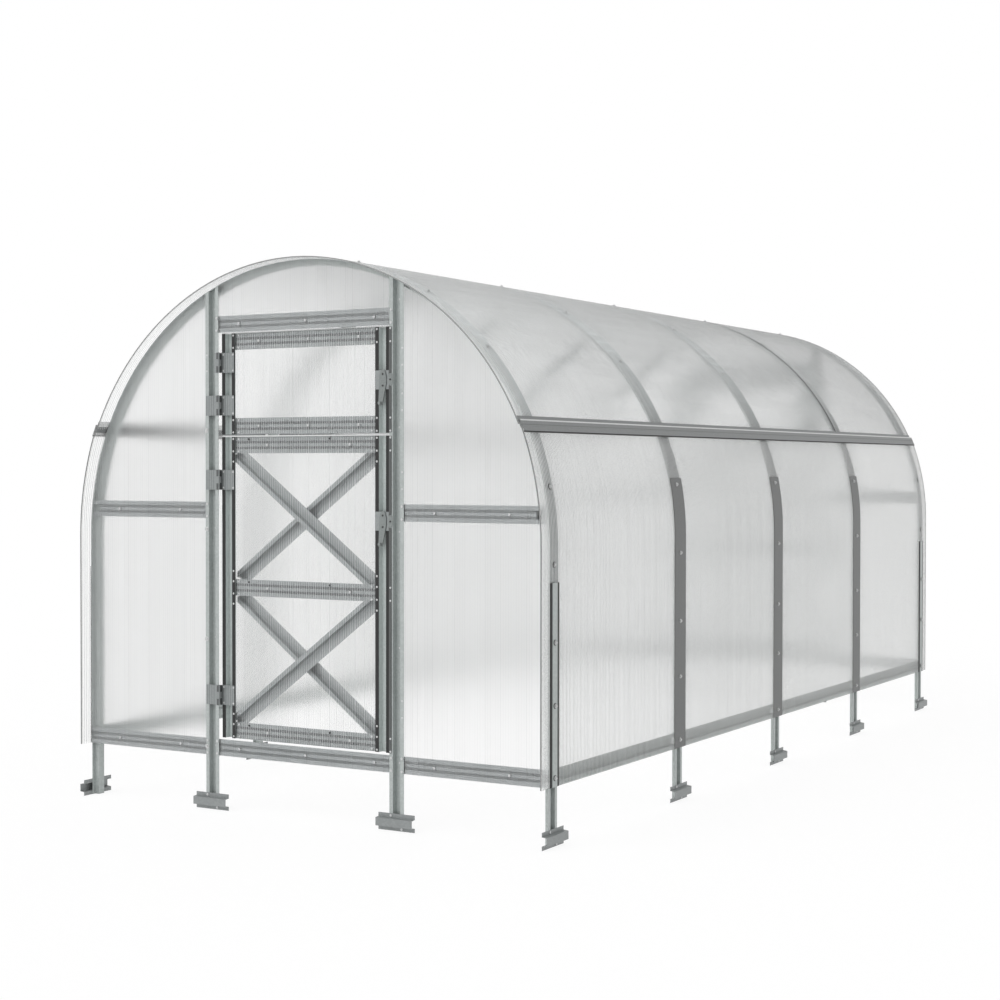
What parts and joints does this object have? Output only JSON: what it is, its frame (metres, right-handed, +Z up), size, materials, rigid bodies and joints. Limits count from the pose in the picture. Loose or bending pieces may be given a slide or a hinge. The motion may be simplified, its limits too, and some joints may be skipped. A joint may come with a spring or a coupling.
{
  "type": "greenhouse",
  "caption": "Arched garden greenhouse: omega-section steel arches and rails under twin-wall sheets, on legs with ground anchors, with a split hinged door and turn latches in each gable.",
  "frame": {"origin": "middle of the house on the ground, below the centre of its bounding box", "axes": "+Z up, +Y along the house from the front gable to the rear one, +X to the right seen from the front"},
  "size_m": [2.04, 4.176, 2.0046],
  "materials": {
    "galvanised": "satin zinc coating",
    "strip_steel": "satin zinc coating, darker",
    "zinc": "bright zinc",
    "seal_rubber": "matt",
    "twin_wall": "clear twin-wall polycarbonate with fine ribs"
  },
  "bodies": {
    "frame": {"arch_front": "galvanised", "arch_second": "galvanised", "arch_third": "galvanised", "arch_fourth": "galvanised", "arch_rear": "galvanised", "base_rails_left": "galvanised", "base_rails_right": "galvanised", "joint_rail_left": "galvanised", "joint_rail_right": "galvanised", "corner_strips": "galvanised", "ground_anchors": "galvanised", "cover_strips": "strip_steel", "corner_seals": "seal_rubber", "screws": "zinc", "roof_sheet_front": "twin_wall", "roof_sheet_rear": "twin_wall", "wall_sheets_left": "twin_wall", "wall_sheets_right": "twin_wall", "front_posts": "galvanised", "front_cross_rails": "galvanised", "front_lintel": "galvanised", "front_side_sheets": "twin_wall", "front_centre_sheets": "twin_wall", "front_hinge_plates": "zinc", "front_hinge_pins": "zinc", "front_keepers": "zinc", "rear_posts": "galvanised", "rear_cross_rails": "galvanised", "rear_lintel": "galvanised", "rear_side_sheets": "twin_wall", "rear_centre_sheets": "twin_wall", "rear_hinge_plates": "zinc", "rear_hinge_pins": "zinc", "rear_keepers": "zinc"},
    "front_lower_leaf": {"front_lower_stiles": "galvanised", "front_lower_rails": "galvanised", "front_lower_sheet": "twin_wall", "front_lower_seals": "seal_rubber", "front_lower_fittings": "zinc", "front_lower_braces": "galvanised"},
    "front_lower_latch": {"front_lower_latch": "zinc"},
    "front_upper_leaf": {"front_upper_stiles": "galvanised", "front_upper_rails": "galvanised", "front_upper_sheet": "twin_wall", "front_upper_seals": "seal_rubber", "front_upper_fittings": "zinc"},
    "front_upper_latch": {"front_upper_latch": "zinc"},
    "rear_lower_leaf": {"rear_lower_stiles": "galvanised", "rear_lower_rails": "galvanised", "rear_lower_sheet": "twin_wall", "rear_lower_seals": "seal_rubber", "rear_lower_fittings": "zinc", "rear_lower_braces": "galvanised"},
    "rear_lower_latch": {"rear_lower_latch": "zinc"},
    "rear_upper_leaf": {"rear_upper_stiles": "galvanised", "rear_upper_rails": "galvanised", "rear_upper_sheet": "twin_wall", "rear_upper_seals": "seal_rubber", "rear_upper_fittings": "zinc"},
    "rear_upper_latch": {"rear_upper_latch": "zinc"}
  },
  "joints": [
    {"name": "front_lower_hinge", "type": "hinge", "parent": "frame", "child": "front_lower_leaf", "pos_m": [-0.3715, -2.0414, 1], "axis": [0, 0, -1], "range_deg": [0, 110]},
    {"name": "front_lower_latch_turn", "type": "hinge", "parent": "front_lower_leaf", "child": "front_lower_latch", "pos_m": [0.343, -2.0285, 1.072], "axis": [0, 1, 0], "range_deg": [0, 90]},
    {"name": "front_upper_hinge", "type": "hinge", "parent": "frame", "child": "front_upper_leaf", "pos_m": [-0.3715, -2.0414, 1.56], "axis": [0, 0, -1], "range_deg": [0, 110]},
    {"name": "front_upper_latch_turn", "type": "hinge", "parent": "front_upper_leaf", "child": "front_upper_latch", "pos_m": [0.343, -2.0285, 1.56325], "axis": [0, 1, 0], "range_deg": [0, 90]},
    {"name": "rear_lower_hinge", "type": "hinge", "parent": "frame", "child": "rear_lower_leaf", "pos_m": [0.3715, 2.0414, 1], "axis": [0, 0, -1], "range_deg": [0, 110]},
    {"name": "rear_lower_latch_turn", "type": "hinge", "parent": "rear_lower_leaf", "child": "rear_lower_latch", "pos_m": [-0.343, 2.0285, 1.072], "axis": [0, -1, 0], "range_deg": [0, 90]},
    {"name": "rear_upper_hinge", "type": "hinge", "parent": "frame", "child": "rear_upper_leaf", "pos_m": [0.3715, 2.0414, 1.56], "axis": [0, 0, -1], "range_deg": [0, 110]},
    {"name": "rear_upper_latch_turn", "type": "hinge", "parent": "rear_upper_leaf", "child": "rear_upper_latch", "pos_m": [-0.343, 2.0285, 1.56325], "axis": [0, -1, 0], "range_deg": [0, 90]}
  ]
}
